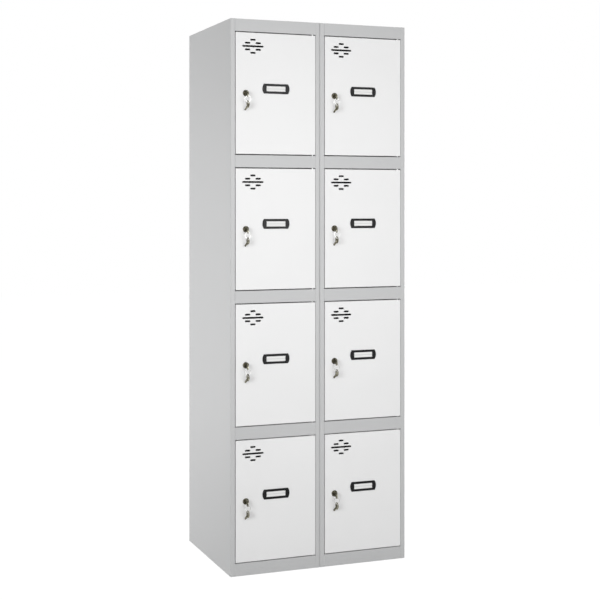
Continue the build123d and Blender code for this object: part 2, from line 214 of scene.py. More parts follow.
class LockerKeySizes(bpy.types.PropertyGroup):
    """Sizes of a key, along it from the ring slot and across it from the blade's middle, and its ring."""

    thickness: length("Thickness", "Thickness of a key", 2.0)
    bow_front: length("Bow front", "Distance from the slot to the bow's end", 5.0)
    bow_rear: length("Bow rear", "Distance from the slot to the shank", 10.5)
    bow_high: length("Bow high", "How far the bow reaches on the blade's side of the slot", 6.5)
    bow_low: length("Bow low", "How far the bow reaches past the slot", 13.4)
    slot_end: length("Slot end", "Distance across to the slot's end that holds the ring", 11.5)
    slot_length: length("Slot length", "Length of the ring slot", 8.0)
    slot_width: length("Slot width", "Width of the ring slot", 4.4)
    slot_round: length("Slot rounding", "Rounding of the slot's corners", 1.4)
    shank_width: length("Shank width", "Width of the shank", 8.0)
    blade_width: length("Blade width", "Width of the blade", 6.5)
    blade_length: length("Blade length", "Length of the blade", 11.0)
    blade_point: length("Blade point", "Chamfer of the blade's tip", 2.0)
    shoulder_gap: length("Shoulder gap", "Gap between the plug and the key's shoulder", 0.3)
    groove_depth: length("Groove depth", "Depth of the groove along the blade", 0.5)
    groove_width: length("Groove width", "Width of the groove along the blade", 1.3)
    edge: length("Edge", "Rounding of a key's edges", 0.3)
    standoff: length("Standoff", "How far in front of the door the ring hangs", 19.0)
    ring_radius: length("Ring radius", "Radius of the ring's middle line", 9.0)
    ring_band: length("Ring band", "Width of the ring's wire across its plane", 1.6)
    ring_width: length("Ring width", "Width of the ring's two turns together", 1.8)
    rest_gap: length("Rest gap", "Gap where a ring or a key rests on the next piece", 0.3)
    lean: degrees("Lean", "How far from upright the hanging key leans", 50)
    twist: degrees("Twist", "How far the hanging key has twisted on its ring", 17)


class LockerLabelSizes(bpy.types.PropertyGroup):
    """Sizes of a label holder and its card."""

    length: length("Length", "Length of the holder between its bowed ends", 90.0)
    height: length("Height", "Height of the holder", 31.0)
    bulge: length("Bulge", "How far an end bows out", 5.0)
    thickness: length("Thickness", "How far the holder stands proud", 3.0)
    bevel: length("Bevel", "Width of the bevel round the holder's face", 1.3)
    above: length("Above centre", "Height of the holder above the door's middle", 16.0)
    window_length: length("Window length", "Length of the window", 64.0)
    window_height: length("Window height", "Height of the window", 16.4)
    window_round: length("Window rounding", "Rounding of the window's corners", 1.2)
    pocket_margin: length("Pocket margin", "How far the card's pocket reaches past the window", 3.0)
    pocket_depth: length("Pocket depth", "Depth of the card's pocket", 1.0)
    card_gap: length("Card gap", "Gap round the card", 0.2)
    card_thickness: length("Card thickness", "Thickness of the card", 0.4)


class LockerColours(bpy.types.PropertyGroup):
    """Colours of the paint, metals, plastic, rubber and card."""

    body_paint: colour("Body paint", "Light grey powder coat of the columns", (0.54, 0.544, 0.547))
    door_paint: colour("Door paint", "Off-white powder coat of the doors", (0.85, 0.85, 0.85))
    steel: colour("Plated steel", "Zinc or nickel plate", (0.56, 0.56, 0.55))
    lock: colour("Locks", "Dark olive plate of the locks", (0.026, 0.023, 0.015))
    worn_lock: colour("Worn locks", "The locks' plate where keys have rubbed it", (0.15, 0.14, 0.10))
    key: colour("Keys", "Olive plate of the keys", (0.075, 0.07, 0.048))
    worn_key: colour("Worn keys", "The keys' plate where hands have rubbed it", (0.44, 0.42, 0.32))
    plastic: colour("Plastic", "Moulded label holders", (0.006, 0.006, 0.0065))
    rubber: colour("Rubber", "Pads behind the doors", (0.022, 0.022, 0.023))
    card: colour("Card", "Blank label cards", (0.86, 0.86, 0.85))
    card_line: colour("Card line", "Writing line across a card", (0.55, 0.55, 0.55))


class LockerStage(bpy.types.PropertyGroup):
    """The camera, the lamps and the floor."""

    eye: FloatVectorProperty(
        name="Eye", description="Place of the camera", default=(-1.52386, -3.99378, 1.16436),
        subtype="XYZ", unit="LENGTH", precision=4,
    )
    turn: degrees("Turn", "How far the level camera turns to the right", 21.14)
    lens: FloatProperty(name="Lens", description="Focal length in millimetres", default=76.26)
    rise: FloatProperty(name="Rise", description="Camera's vertical shift", default=-0.162)
    ambient: FloatProperty(name="Ambient", description="Strength of the light all round", default=0.25)
    corner_power: watts("Corner", "off the front left corner", 77.0)
    front_power: watts("Front", "in front", 29.0)
    left_power: watts("Left", "at the left", 22.0)
    right_power: watts("Right", "at the right", 38.0)
    rear_power: watts("Rear", "behind", 16.0)
    top_power: watts("Top", "above the roof", 14.0)
    floor_size: length("Floor size", "Distance from the floor's middle to its edges", 12000.0)
    floor_grey: share("Floor grey", "How much light the floor throws back", 0.46)
    floor_white: share("Floor white", "Share of plain white in the floor as the camera sees it", 0.85)
    floor_glow: FloatProperty(name="Floor glow", description="Strength of that white", default=1.16)


PROPERTY_GROUPS = {
    "locker_body": LockerBodySizes,
    "locker_hardware": LockerHardwareSizes,
    "locker_door": LockerDoorSizes,
    "locker_lock": LockerLockSizes,
    "locker_key": LockerKeySizes,
    "locker_label": LockerLabelSizes,
    "locker_colours": LockerColours,
    "locker_stage": LockerStage,
}


# Places worked out from the frame


def middle(node):
    """The middle of a node's box."""
    low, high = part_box(node)
    return (low + high) / 2


def door_place(column, tier):
    """The middle of a door's front face."""
    centre = middle(f"{column}_door_{tier}")
    return Vector((centre.x, FRONT, centre.z))


def lock_place(column, tier):
    """The point where a lock's axis meets the door's front face."""
    centre = door_place(column, tier)
    centre.x = middle(f"{column}_lock_core_{tier}").x
    return centre


def every_door():
    """Each door's column and tier."""
    return [(column, tier) for column in COLUMNS for tier in TIERS]


# Finishes


class Signal:
    """A socket in a finish. Arithmetic on it adds Math nodes."""

    def __init__(self, finish, socket):
        self.finish = finish
        self.socket = socket

    def math(self, operation, *values):
        return self.finish.add("ShaderNodeMath", {"operation": operation}, dict(enumerate(values)))

    def __add__(self, other):
        return self.math("ADD", self, other)

    __radd__ = __add__

    def __sub__(self, other):
        return self.math("SUBTRACT", self, other)

    def __rsub__(self, other):
        return self.math("SUBTRACT", other, self)

    def __mul__(self, other):
        return self.math("MULTIPLY", self, other)

    __rmul__ = __mul__

    def __truediv__(self, other):
        return self.math("DIVIDE", self, other)

    def __rtruediv__(self, other):
        return self.math("DIVIDE", other, self)

    def __abs__(self):
        return self.math("ABSOLUTE", self)

    def __lt__(self, other):
        return self.math("LESS_THAN", self, other)


class Finish:
    """The nodes of a material or a world while they are put together."""

    def __init__(self, name, kind="materials"):
        self.made = getattr(bpy.data, kind).new(name)
        self.made.use_nodes = True
        self.tree = self.made.node_tree
        self.tree.nodes.clear()
        self.place = self.add("ShaderNodeTexCoord", {}, {}, "Object")

    def add(self, kind, settings, inputs, output=0):
        """Add a node: first its settings, then the values or links of its inputs."""
        node = self.tree.nodes.new(kind)
        for name, value in settings.items():
            if name == "stops":
                self.set_stops(node.color_ramp, value)
            else:
                setattr(node, name, value)
        for name, value in inputs.items():
            if isinstance(value, Signal):
                self.tree.links.new(value.socket, node.inputs[name])
            else:
                node.inputs[name].default_value = value
        return Signal(self, node.outputs[output]) if node.outputs else None

    @staticmethod
    def set_stops(ramp, stops):
        """Give a ramp these positions, each with its grey level."""
        while len(ramp.elements) < len(stops):
            ramp.elements.new(1.0)
        for element, (position, level) in zip(ramp.elements, stops):
            element.position = position
            element.color = (level, level, level, 1)

    def noise(self, scale, detail=2.0, place=None):
        """Noise with this many patches in a metre."""
        inputs = {"Vector": place or self.place, "Scale": scale, "Detail": detail}
        return self.add("ShaderNodeTexNoise", {}, inputs, "Fac")

    def ramp(self, value, *stops):
        """Grey levels that follow a value between these stops."""
        return self.add("ShaderNodeValToRGB", {"stops": stops}, {"Fac": value}, "Color")

    def stretched(self, x, y, z):
        """The place with its axes scaled, so that a pattern runs along one of them."""
        return self.add("ShaderNodeMapping", {}, {"Vector": self.place, "Scale": (x, y, z)})

    def blend(self, factor, first, second):
        """The first colour where the factor is 0 and the second where it is 1."""
        return self.add("ShaderNodeMix", {"data_type": "RGBA"}, {0: factor, 6: first, 7: second}, 2)

    def bump(self, height, distance, normal=None):
        """A relief this deep, laid over another if one is given."""
        inputs = {"Height": height, "Distance": distance}
        if normal:
            inputs["Normal"] = normal
        return self.add("ShaderNodeBump", {}, inputs, "Normal")

    def seen_white(self, plain, white, amount):
        """White mixed into a plain shader by this share, where the camera, a gloss or a glass sees it."""
        rays = self.add("ShaderNodeLightPath", {}, {}).socket.node.outputs
        seen = Signal(self, rays["Is Camera Ray"])
        for kind in ("Glossy", "Transmission"):
            seen = seen.math("MAXIMUM", seen, Signal(self, rays[f"Is {kind} Ray"]))
        return self.add("ShaderNodeMixShader", {}, {"Fac": seen * amount, 1: plain, 2: white})

    def end(self, shader, kind="Material"):
        """End with this shader."""
        self.add(f"ShaderNodeOutput{kind}", {}, {"Surface": shader})

    def surface(self, **inputs):
        """End with a Principled surface. Underscores in names stand for spaces."""
        named = {name.replace("_", " "): value for name, value in inputs.items()}
        self.end(self.add("ShaderNodeBsdfPrincipled", {}, named))


def shade(rgb, level):
    """A colour made lighter or darker, with the alpha that a socket needs."""
    return (*[min(1.0, part * level) for part in rgb], 1.0)


def powder_coat(name, rgb):
    """Sprayed and baked paint: fine orange peel, slow changes of shade and a satin gloss."""
    finish = Finish(name)
    cloud = finish.noise(5.0, detail=3.0)
    peel = finish.noise(620.0, detail=1.5)
    speckle = finish.noise(2600.0, detail=1.0)
    sag = finish.noise(11.0, detail=0.0)
    relief = finish.bump(peel, 0.00006)
    relief = finish.bump(speckle, 0.00001, normal=relief)
    relief = finish.bump(sag, 0.0006, normal=relief)
    finish.surface(
        Base_Color=finish.blend(cloud, shade(rgb, 0.975), shade(rgb, 1.02)),
        Roughness=0.36 + 0.1 * cloud + 0.06 * speckle,
        Normal=relief,
    )


def plated_steel(name, rgb):
    """Zinc or nickel plate: bright metal with faint drawing lines and dull patches."""
    finish = Finish(name)
    patches = finish.noise(300.0, detail=3.0)
    lines = finish.noise(90.0, place=finish.stretched(1, 25, 25))
    finish.surface(
        Base_Color=finish.blend(patches, shade(rgb, 0.82), shade(rgb, 1.12)),
        Metallic=1.0,
        Roughness=0.22 + 0.16 * patches,
        Normal=finish.bump(lines, 0.00001),
    )


def bronze_plate(name, rgb, worn):
    """Dark olive plate that hands have rubbed brighter in patches."""
    finish = Finish(name)
    rubbed = finish.ramp(finish.noise(210.0, detail=4.0), (0.42, 0.0), (0.66, 1.0))
    grain = finish.noise(2400.0)
    scratches = finish.noise(260.0, detail=3.0, place=finish.stretched(1, 9, 1))
    relief = finish.bump(grain, 0.000012)
    finish.surface(
        Base_Color=finish.blend(rubbed, shade(rgb, 1.0), shade(worn, 1.0)),
        Metallic=0.85,
        Roughness=0.34 + 0.14 * scratches - 0.08 * rubbed,
        Normal=finish.bump(scratches, 0.00002, normal=relief),
    )


def moulded_plastic(name, rgb):
    """Glossy injection-moulded plastic with a faint moulding grain."""
    finish = Finish(name)
    grain = finish.noise(1500.0)
    haze = finish.noise(60.0, detail=3.0)
    finish.surface(
        Base_Color=finish.blend(haze, shade(rgb, 0.8), shade(rgb, 1.6)),
        Roughness=0.24 + 0.12 * haze,
        Specular_IOR_Level=0.15,
        Normal=finish.bump(grain, 0.000012),
    )


def soft_rubber(name, rgb):
    """Matt black rubber with a fine grain."""
    finish = Finish(name)
    grain = finish.noise(1800.0, detail=3.0)
    finish.surface(
        Base_Color=finish.blend(grain, shade(rgb, 0.7), shade(rgb, 1.5)),
        Roughness=0.72 + 0.15 * grain,
        Normal=finish.bump(grain, 0.00004),
    )


def label_card(name, rgb, line):
    """White card with paper fibres and one faint writing line at each holder's middle."""
    line_width = 0.0022
    line_strength = 0.55
    finish = Finish(name)
    fibres = finish.noise(900.0, detail=4.0, place=finish.stretched(0.4, 1, 1))
    height = finish.add("ShaderNodeSeparateXYZ", {}, {"Vector": finish.place}, "Z")
    tiers_up = (height - (middle("left_label_holder_4").z - PITCH / 2)) / PITCH
    offset = abs(tiers_up.math("FRACT", tiers_up) - 0.5) * PITCH
    printed = offset < line_width / 2
    paper = finish.blend(fibres, shade(rgb, 0.97), shade(rgb, 1.02))
    finish.surface(
        Base_Color=finish.blend(printed * line_strength, paper, shade(line, 1.0)),
        Roughness=0.55 + 0.2 * fibres,
        Normal=finish.bump(fibres, 0.00002),
    )


def finishes():
    """The materials, made once and then looked up by name."""
    if "body_paint" not in bpy.data.materials:
        colours = bpy.context.scene.locker_colours
        powder_coat("body_paint", colours.body_paint)
        powder_coat("door_paint", colours.door_paint)
        plated_steel("plated_steel", colours.steel)
        bronze_plate("lock_plate", colours.lock, colours.worn_lock)
        bronze_plate("key_plate", colours.key, colours.worn_key)
        moulded_plastic("holder_plastic", colours.plastic)
        soft_rubber("pad_rubber", colours.rubber)
        label_card("label_card", colours.card, colours.card_line)
    return bpy.data.materials


# Mesh tools


def is_vert(item):
    return isinstance(item, bmesh.types.BMVert)


def is_edge(item):
    return isinstance(item, bmesh.types.BMEdge)


def shift(bm, offset):
    """Move a mesh."""
    bmesh.ops.translate(bm, vec=offset, verts=bm.verts[:])


def turn(bm, angle, axis):
    """Turn a mesh about an axis through the origin."""
    bmesh.ops.rotate(bm, cent=(0, 0, 0), matrix=Matrix.Rotation(angle, 3, axis), verts=bm.verts[:])


def merge_doubles(bm):
    """Merge vertices that meet, and remove edges and faces that have no size."""
    bmesh.ops.remove_doubles(bm, verts=bm.verts[:], dist=TINY)
    bmesh.ops.dissolve_degenerate(bm, edges=bm.edges[:], dist=TINY)


def face_outwards(bm):
    """Make the faces of a mesh agree and point outwards."""
    bmesh.ops.recalc_face_normals(bm, faces=bm.faces[:])


def edges_with(bm, test):
    """Edges both of whose ends pass a test."""
    return [edge for edge in bm.edges if all(test(vert.co) for vert in edge.verts)]


def sharp_edges(bm, test=lambda co: True):
    """Edges between faces that meet at a sharp angle, where both ends pass a test."""
    return [edge for edge in edges_with(bm, test) if edge.calc_face_angle(0) > SHARP]


def bevel_edges(bm, edges, width, segments=2, affect="EDGES"):
    """Round or chamfer edges."""
    bmesh.ops.bevel(
        bm, geom=edges, offset=width, offset_type="OFFSET", segments=segments,
        profile=0.5, affect=affect, clamp_overlap=True, material=-1,
    )


def round_corners(bm, verts, radius, segments=6):
    """Round the corners of a flat outline or a path."""
    bevel_edges(bm, verts, radius, segments, "VERTICES")


def path(bm, points, radii=None):
    """A path through points, with its corners rounded where a radius is given."""
    verts = [bm.verts.new(point) for point in points]
    for pair in zip(verts, verts[1:]):
        bm.edges.new(pair)
    for vert, radius in zip(verts, radii or []):
        if radius:
            round_corners(bm, [vert], radius, FOLD_STEPS)


def outline(bm, points):
    """A flat face through points, and its corners in the same order."""
    corners = [bm.verts.new(point) for point in points]
    bm.faces.new(corners)
    return corners


def grow(bm, edges, vector):
    """Extrude edges along a vector and return the edges at the far side."""
    made = bmesh.ops.extrude_edge_only(bm, edges=edges)["geom"]
    verts = set(filter(is_vert, made))
    bmesh.ops.translate(bm, vec=vector, verts=list(verts))
    return [item for item in made if is_edge(item) and all(vert in verts for vert in item.verts)]


def raise_faces(bm, faces, vector):
    """Extrude flat faces along a vector into closed solids."""
    made = bmesh.ops.extrude_face_region(bm, geom=faces, use_keep_orig=True)["geom"]
    bmesh.ops.translate(bm, vec=vector, verts=list(filter(is_vert, made)))
    face_outwards(bm)


def spun(points, radii=None, steps=ROUND):
    """A solid of revolution about Y, from a profile of radius and depth."""
    bm = bmesh.new()
    path(bm, [(radius, depth, 0) for radius, depth in points], radii)
    bmesh.ops.spin(
        bm, geom=bm.verts[:] + bm.edges[:], cent=(0, 0, 0), axis=(0, 1, 0), dvec=(0, 0, 0),
        angle=math.tau, steps=steps, use_merge=True,
    )
    merge_doubles(bm)
    face_outwards(bm)
    return bm


def block(low, high):
    """A box between two corners."""
    low, high = Vector(low), Vector(high)
    bm = bmesh.new()
    bmesh.ops.create_cube(bm, size=1)
    bmesh.ops.scale(bm, vec=high - low, verts=bm.verts[:])
    shift(bm, (low + high) / 2)
    return bm


def rod(radius, start, end, sides=ROUND):
    """A cylinder from one point to another."""
    start, end = Vector(start), Vector(end)
    bm = bmesh.new()
    bmesh.ops.create_cone(
        bm, cap_ends=True, segments=sides, radius1=radius, radius2=radius, depth=(end - start).length
    )
    direction = Vector((0, 0, 1)).rotation_difference(end - start).to_matrix()
    bmesh.ops.rotate(bm, cent=(0, 0, 0), matrix=direction, verts=bm.verts[:])
    shift(bm, (start + end) / 2)
    return bm


def plate(width, height, radius, front, rear, segments=6):
    """A plate facing the front, centred on the axis, with rounded corners."""
    bm = bmesh.new()
    x, z = width / 2, height / 2
    corners = outline(bm, [(-x, front, -z), (x, front, -z), (x, front, z), (-x, front, z)])
    if radius:
        round_corners(bm, corners, radius, segments)
    raise_faces(bm, bm.faces[:], (0, rear - front, 0))
    return bm


def add_shape(bm, shape, offset=(0, 0, 0)):
    """Add a copy of one mesh to another, moved."""
    mesh = bpy.data.meshes.new("shape")
    shape.to_mesh(mesh)
    mesh.transform(Matrix.Translation(offset))
    bm.from_mesh(mesh)
    bpy.data.meshes.remove(mesh)


def new_object(name, data):
    """An object in the scene that shows this data."""
    made = bpy.data.objects.new(name, data)
    bpy.context.scene.collection.objects.link(made)
    return made


def mesh_object(name, bm):
    """An object in the scene that shows a copy of this mesh."""
    mesh = bpy.data.meshes.new(name)
    bm.to_mesh(mesh)
    return new_object(name, mesh)


def discard(working):
    """Delete a working object with its mesh."""
    mesh = working.data
    bpy.data.objects.remove(working)
    bpy.data.meshes.remove(mesh)


def modify(bm, kind, **settings):
    """Run one modifier over a mesh."""
    working = mesh_object("working", bm)
    modifier = working.modifiers.new(kind, kind)
    for name, value in settings.items():
        setattr(modifier, name, value)
    result = bpy.data.meshes.new_from_object(
        working.evaluated_get(bpy.context.evaluated_depsgraph_get())
    )
    bm.clear()
    bm.from_mesh(result)
    bpy.data.meshes.remove(result)
    discard(working)


def combine(bm, tool, operation="DIFFERENCE"):
    """Cut a closed shape out of a mesh, or join it on."""
    other = mesh_object("tool", tool)
    tool.free()
    modify(bm, "BOOLEAN", operation=operation, solver="EXACT", object=other)
    discard(other)
    merge_doubles(bm)


def give_thickness(bm, sheet, side):
    """Turn a surface into a sheet: side is -1 to grow inwards and 0 for both ways."""
    face_outwards(bm)
    modify(bm, "SOLIDIFY", thickness=sheet, offset=side, use_even_offset=True, use_quality_normals=True)


def add_piece(name, bm, body, finish, *nodes):
    """Make a finished piece: smooth where it curves, on its body, for the nodes it replaces."""
    piece = mesh_object(name, bm)
    bm.free()
    piece.data.materials.append(finishes()[finish])
    piece.data.shade_smooth()
    piece.data.set_sharp_from_angle(angle=SHARP)
    even = piece.modifiers.new("even_shading", "WEIGHTED_NORMAL")
    even.keep_sharp = True
    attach(piece, body)
    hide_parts(*nodes)


def moved(bm, offset):
    """A copy of a mesh at another place."""
    copy = bm.copy()
    shift(copy, offset)
    return copy


# Body


def weld_marks(sizes, outer, inward):
    """Cutters for the shallow marks that spot welds leave in an outer side."""
    radius, depth = sizes.weld_radius, sizes.weld_depth
    bowl = [(0, depth), (radius * 0.45, depth * 0.85), (radius * 0.8, depth * 0.35), (radius, 0)]
    mark = spun([*bowl, (radius, -depth), (0, -depth)], steps=ROUND // 2)
    turn(mark, -inward * math.pi / 2, "Z")
    marks = bmesh.new()
    for y, z in WELDS:
        add_shape(marks, mark, (outer, y, z))
    return marks


def side_wall(sizes, column, side):
    """A side wall folded from one sheet, with bolt holes where the columns touch or else weld marks."""
    inward = 1 if side == "left" else -1
    outer = COLUMN_LEFT[column] + (0 if side == "left" else COLUMN_WIDTH)
    half = sizes.sheet / 2
    skin = outer + inward * half
    returned = outer + inward * (sizes.stile_width - half)
    lip_y = FRONT + sizes.stile_depth - half
    points = [
        (outer + inward * (sizes.stile_width + sizes.stop_lip), lip_y, 0),
        (returned, lip_y, 0),
        (returned, FRONT + half, 0),
        (skin, FRONT + half, 0),
        (skin, REAR - half, 0),
        (outer + inward * sizes.flange, REAR - half, 0),
    ]
    fold = sizes.fold - half
    bm = bmesh.new()
    path(bm, points, [0, fold, fold, sizes.corner - half, fold, 0])
    grow(bm, bm.edges[:], (0, 0, TOP - sizes.sheet))
    give_thickness(bm, sizes.sheet, 0)
    if outer == 0:
        # A bolt's hole goes through the side, and its access hole through the stile's return
        across = inward * sizes.stile_width
        holes = bmesh.new()
        for tier in TIERS:
            y, z = FRONT + sizes.bolt_depth, door_place("left", tier).z
            add_shape(holes, rod(sizes.bolt_hole, (-across / 15, y, z), (across * 0.5, y, z)))
            add_shape(holes, rod(sizes.access_hole, (across * 0.8, y, z), (across * 1.2, y, z)))
        combine(bm, holes)
    else:
        combine(bm, weld_marks(sizes, outer, inward))
    bevel_edges(bm, sharp_edges(bm), sizes.edge, 1)
    return bm


def rail_half(sizes):
    """Half the width of a rail, which fits between the stiles."""
    return COLUMN_WIDTH / 2 - sizes.stile_width - sizes.gap


def rail(sizes, bottom, top, plate_rear):
    """The open surface of a rail with its plate, centred on X.

    Of its three spans across, the middle one is as wide as the neck between the stop lips.
    """
    half = sizes.sheet / 2
    end = rail_half(sizes)
    fold = sizes.fold - half
    points = [
        (-end, FRONT + sizes.rail_return, bottom + half),
        (-end, FRONT + half, bottom + half),
        (-end, FRONT + half, top - half),
        (-end, plate_rear, top - half),
    ]
    bm = bmesh.new()
    path(bm, points, [0, fold, fold, 0])
    edges = bm.edges[:]
    for span in (sizes.stop_lip, 2 * (end - sizes.stop_lip), sizes.stop_lip):
        edges = grow(bm, edges, (span, 0, 0))
    return bm


def finish_sheet(sizes, bm, column):
    """Give a surface its thickness, round its edges and move it to its column."""
    give_thickness(bm, sizes.sheet, 0)
    bevel_edges(bm, sharp_edges(bm), sizes.edge, 1)
    shift(bm, (COLUMN_LEFT[column] + COLUMN_WIDTH / 2, 0, 0))


def shelf(sizes, column, bottom):
    """A shelf or base: the rail between the stiles and the plate behind it."""
    neck_half = rail_half(sizes) - sizes.stop_lip
    plate_half = COLUMN_WIDTH / 2 - sizes.sheet - sizes.gap
    shoulder = FRONT + sizes.rail_return
    plate_front = FRONT + sizes.stile_depth + sizes.gap
    plate_rear = REAR - sizes.shelf_rear
    bm = rail(sizes, bottom, bottom + RAIL_HEIGHT, shoulder)

    def on_neck(co):
        """Whether a point is on the upper rear edge, between the stop lips."""
        upper = co.z > bottom + RAIL_HEIGHT / 2
        return upper and co.y > shoulder - TINY and abs(co.x) < neck_half + TINY

    neck = grow(bm, edges_with(bm, on_neck), (0, plate_front - shoulder, 0))
    grow(bm, neck, (0, plate_rear - plate_front, 0))
    for side in (-1, 1):
        run = edges_with(bm, lambda co: co.y > plate_front - TINY and abs(co.x - side * neck_half) < TINY)
        grow(bm, run, (side * (plate_half - neck_half), 0, 0))
    finish_sheet(sizes, bm, column)
    return bm


def roof(sizes, column):
    """The roof plate, folded down in front between the stiles and flat over them."""
    end, outer = rail_half(sizes), COLUMN_WIDTH / 2
    plate_low = TOP - sizes.sheet / 2 - TINY
    fold_end = FRONT + sizes.fold
    bm = rail(sizes, TOP - RAIL_HEIGHT, TOP, REAR)
    for side in (-1, 1):
        plate = edges_with(bm, lambda co: co.z > plate_low and co.y > fold_end - TINY)
        run = [edge for edge in plate if all(abs(v.co.x - side * end) < TINY for v in edge.verts)]
        grow(bm, run, (side * (outer - end), 0, 0))
        seam = edges_with(bm, lambda co: abs(co.y - fold_end) < TINY and side * co.x > end - TINY)
        grow(bm, seam, (0, FRONT - fold_end, 0))
        bmesh.ops.dissolve_edges(bm, edges=seam, use_verts=True)
        corner = [v for v in bm.verts if abs(v.co.y - FRONT) < TINY and side * v.co.x > outer - TINY]
        round_corners(bm, corner, sizes.corner, FOLD_STEPS)
    finish_sheet(sizes, bm, column)
    return bm


class LOCKER_OT_body(bpy.types.Operator):
    """Fold the walls, the roofs, the shelves and the bases, and paint them and the back panels"""

    bl_idname = "locker.body"
    bl_label = "Body"

    def execute(self, context):
        sizes = context.scene.locker_body
        for column in COLUMNS:
            for side in ("left", "right"):
                wall = side_wall(sizes, column, side)
                self.add_sheet(f"{column}_{side}_side_sheet", wall, f"{column}_column_{side}_wall")
            self.add_sheet(f"{column}_roof_sheet", roof(sizes, column), "roof_panels")
            self.add_sheet(f"{column}_base_sheet", shelf(sizes, column, 0), "base_panels")
            for level in range(1, len(TIERS)):
                panel = shelf(sizes, column, level * PITCH)
                self.add_sheet(f"{column}_shelf_sheet_{level}", panel, "shelves")
        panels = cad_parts["back_panels"]
        panels.data.materials.clear()
        panels.data.materials.append(finishes()["body_paint"])
        return {"FINISHED"}

    @staticmethod
    def add_sheet(name, bm, node):
        """Make a painted sheet of the body."""
        add_piece(name, bm, "cabinet", "body_paint", node)


# Hardware of the body


def hexagon(size, start, end, chamfer):
    """A hexagonal prism along X with its far end chamfered."""
    bm = rod(size / math.sqrt(3), (start, 0, 0), (end, 0, 0), sides=6)
    bevel_edges(bm, edges_with(bm, lambda co: abs(co.x - end) < TINY), chamfer, 2)
    return bm


class LOCKER_OT_hardware(bpy.types.Operator):
    """Make the hinge pins, the rubber pads and the bolts and nuts between the columns"""

    bl_idname = "locker.hardware"
    bl_label = "Pins, pads and bolts"

    def execute(self, context):
        scene = context.scene
        sizes, body = scene.locker_hardware, scene.locker_body
        pins, pads = self.hinge_pins(sizes, scene.locker_door), self.rubber_pads(sizes, body)
        bolt, nut = self.bolt(sizes, body.sheet), self.nut(sizes, body)
        bolts, nuts = bmesh.new(), bmesh.new()
        for tier in TIERS:
            place = (0, FRONT + body.bolt_depth, door_place("left", tier).z)
            add_shape(bolts, bolt, place)
            add_shape(nuts, nut, place)
        add_piece("round_hinge_pins", pins, "cabinet", "plated_steel", "hinge_pins")
        add_piece("rubber_pads", pads, "cabinet", "pad_rubber", "door_buffers")
        add_piece("hexagon_bolts", bolts, "cabinet", "plated_steel", "column_bolts")
        add_piece("hexagon_nuts", nuts, "cabinet", "plated_steel", "column_nuts")
        return {"FINISHED"}

    @staticmethod
    def hinge_pins(sizes, door):
        """A pin up from the rail below each door and one down from the rail above it."""
        pins = bmesh.new()
        end_gap = (PITCH - RAIL_HEIGHT - door.height) / 2
        pin = rod(sizes.pin_radius, (0, 0, 0), (0, 0, sizes.pin_length))
        bevel_edges(pin, sharp_edges(pin), sizes.pin_radius / 6, 2)
        for column, tier in every_door():
            centre = door_place(column, tier)
            x = centre.x + door.hinge_shift + door.width / 2 - sizes.pin_inset
            foot = centre.z - door.height / 2 - end_gap
            head = centre.z + door.height / 2 + end_gap - sizes.pin_length
            for z in (foot, head):
                add_shape(pins, pin, (x, FRONT + sizes.pin_depth, z))
        return pins

    @staticmethod
    def rubber_pads(sizes, body):
        """Two pads for each door, on the stop lip beside its lock."""
        pads = bmesh.new()
        low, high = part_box("door_buffers")
        pad = plate(sizes.pad_width, sizes.pad_height, sizes.pad_crown, low.y, high.y)
        bevel_edges(pad, edges_with(pad, lambda co: co.y < low.y + TINY), sizes.pad_crown * 0.7, 3)
        for column, tier in every_door():
            x = COLUMN_LEFT[column] + body.stile_width + body.stop_lip / 2
            for side in (-1, 1):
                add_shape(pads, pad, (x, 0, door_place(column, tier).z + side * sizes.pad_spacing / 2))
        return pads

    @staticmethod
    def bolt(sizes, sheet):
        """A bolt's head and its shank, which reaches past the nut."""
        bolt = hexagon(sizes.bolt_size, -sheet, -sheet - sizes.bolt_head, sizes.chamfer)
        end = sheet + sizes.nut_height + sizes.bolt_end
        shank = rod(sizes.bolt_radius, (-sheet, 0, 0), (end, 0, 0))
        bevel_edges(shank, edges_with(shank, lambda co: co.x > end - TINY), sizes.chamfer, 1)
        add_shape(bolt, shank)
        return bolt

    @staticmethod
    def nut(sizes, body):
        """A nut with a plain bore."""
        end = body.sheet + sizes.nut_height
        nut = hexagon(sizes.bolt_size, body.sheet, end, sizes.chamfer)
        combine(nut, rod(sizes.bolt_radius + body.gap, (0, 0, 0), (2 * end, 0, 0)))
        return nut


# Doors


def slot_cutter(slot_length, height, x, z, depth):
    """An obround cutter for one vent slot, pushed through the door's face."""
    bm = bmesh.new()
    bmesh.ops.create_circle(bm, cap_ends=True, segments=24, radius=height / 2)
    turn(bm, math.pi / len(bm.verts), "Z")
    for side in (-1, 1):
        end = [vert for vert in bm.verts if side * vert.co.x > 0]
        bmesh.ops.translate(bm, vec=(side * (slot_length - height) / 2, 0, 0), verts=end)
    turn(bm, math.pi / 2, "X")
    shift(bm, (x, -depth, z))
    raise_faces(bm, bm.faces[:], (0, 2 * depth, 0))
    return bm


